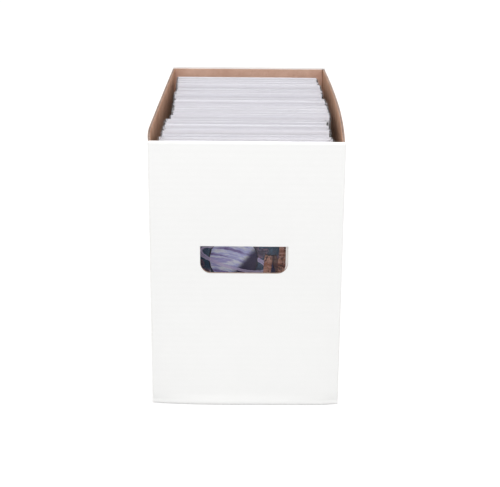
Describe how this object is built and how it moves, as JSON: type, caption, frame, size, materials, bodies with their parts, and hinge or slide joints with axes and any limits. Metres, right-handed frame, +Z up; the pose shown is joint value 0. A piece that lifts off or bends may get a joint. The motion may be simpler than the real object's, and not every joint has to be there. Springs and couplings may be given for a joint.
{
  "type": "comic book storage box",
  "caption": "Open-topped corrugated board box, white outside and kraft inside, with rolled white end rims, a flap hand hole in each end and a row of bagged comic books standing in it.",
  "frame": {"origin": "middle of the footprint, on the surface that the box stands on", "axes": "+Z up, +Y along the row of comics from the front end to the rear end, +X to the right as seen from the front end"},
  "size_m": [0.2034, 0.394, 0.282],
  "materials": {
    "white_lined_board": "matte",
    "kraft_board": "matte",
    "printed_cover": "satin",
    "page_paper": "matte",
    "backing_board": "matte",
    "bag_film": "gloss",
    "staple_wire": "satin"
  },
  "bodies": {
    "box": {"bottom_panel": "white_lined_board", "floor_liner": "kraft_board", "left_side_wall": "white_lined_board", "right_side_wall": "white_lined_board", "front_end_panel": "white_lined_board", "front_middle_flap": "white_lined_board", "front_inner_flap": "kraft_board", "front_rim_hem": "white_lined_board", "rear_end_panel": "white_lined_board", "rear_middle_flap": "white_lined_board", "rear_inner_flap": "kraft_board", "rear_rim_hem": "white_lined_board"},
    "front_hand_flap": {"front_hand_flap": "white_lined_board"},
    "rear_hand_flap": {"rear_hand_flap": "white_lined_board"},
    "front_comic": {"front_comic_cover": "printed_cover", "front_comic_pages": "page_paper", "front_comic_staples": "staple_wire", "front_comic_backing_board": "backing_board", "front_comic_bag": "bag_film"},
    "bundle_01": {"comics_01_books": "page_paper", "comics_01_backing_boards": "backing_board", "comics_01_bags": "bag_film"},
    "bundle_02": {"comics_02_books": "page_paper", "comics_02_backing_boards": "backing_board", "comics_02_bags": "bag_film"},
    "bundle_03": {"comics_03_books": "page_paper", "comics_03_backing_boards": "backing_board", "comics_03_bags": "bag_film"},
    "bundle_04": {"comics_04_books": "page_paper", "comics_04_backing_boards": "backing_board", "comics_04_bags": "bag_film"},
    "bundle_05": {"comics_05_books": "page_paper", "comics_05_backing_boards": "backing_board", "comics_05_bags": "bag_film"},
    "bundle_06": {"comics_06_books": "page_paper", "comics_06_backing_boards": "backing_board", "comics_06_bags": "bag_film"},
    "bundle_07": {"comics_07_books": "page_paper", "comics_07_backing_boards": "backing_board", "comics_07_bags": "bag_film"},
    "bundle_08": {"comics_08_books": "page_paper", "comics_08_backing_boards": "backing_board", "comics_08_bags": "bag_film"},
    "bundle_09": {"comics_09_books": "page_paper", "comics_09_backing_boards": "backing_board", "comics_09_bags": "bag_film"},
    "bundle_10": {"comics_10_books": "page_paper", "comics_10_backing_boards": "backing_board", "comics_10_bags": "bag_film"}
  },
  "joints": [
    {"name": "front_flap_crease", "type": "hinge", "parent": "box", "child": "front_hand_flap", "pos_m": [0, -0.197, 0.1748], "axis": [1, 0, 0], "range_deg": [-88, 0]},
    {"name": "rear_flap_crease", "type": "hinge", "parent": "box", "child": "rear_hand_flap", "pos_m": [0, 0.197, 0.1748], "axis": [-1, 0, 0], "range_deg": [0, 88]},
    {"name": "front_comic_lift", "type": "slide", "parent": "box", "child": "front_comic", "axis": [0, 0, 1], "range_m": [0, 0.29]},
    {"name": "bundle_01_lift", "type": "slide", "parent": "box", "child": "bundle_01", "axis": [0, 0, 1], "range_m": [0, 0.29]},
    {"name": "bundle_02_lift", "type": "slide", "parent": "box", "child": "bundle_02", "axis": [0, 0, 1], "range_m": [0, 0.29]},
    {"name": "bundle_03_lift", "type": "slide", "parent": "box", "child": "bundle_03", "axis": [0, 0, 1], "range_m": [0, 0.29]},
    {"name": "bundle_04_lift", "type": "slide", "parent": "box", "child": "bundle_04", "axis": [0, 0, 1], "range_m": [0, 0.29]},
    {"name": "bundle_05_lift", "type": "slide", "parent": "box", "child": "bundle_05", "axis": [0, 0, 1], "range_m": [0, 0.29]},
    {"name": "bundle_06_lift", "type": "slide", "parent": "box", "child": "bundle_06", "axis": [0, 0, 1], "range_m": [0, 0.29]},
    {"name": "bundle_07_lift", "type": "slide", "parent": "box", "child": "bundle_07", "axis": [0, 0, 1], "range_m": [0, 0.29]},
    {"name": "bundle_08_lift", "type": "slide", "parent": "box", "child": "bundle_08", "axis": [0, 0, 1], "range_m": [0, 0.29]},
    {"name": "bundle_09_lift", "type": "slide", "parent": "box", "child": "bundle_09", "axis": [0, 0, 1], "range_m": [0, 0.29]},
    {"name": "bundle_10_lift", "type": "slide", "parent": "box", "child": "bundle_10", "axis": [0, 0, 1], "range_m": [0, 0.29]}
  ]
}
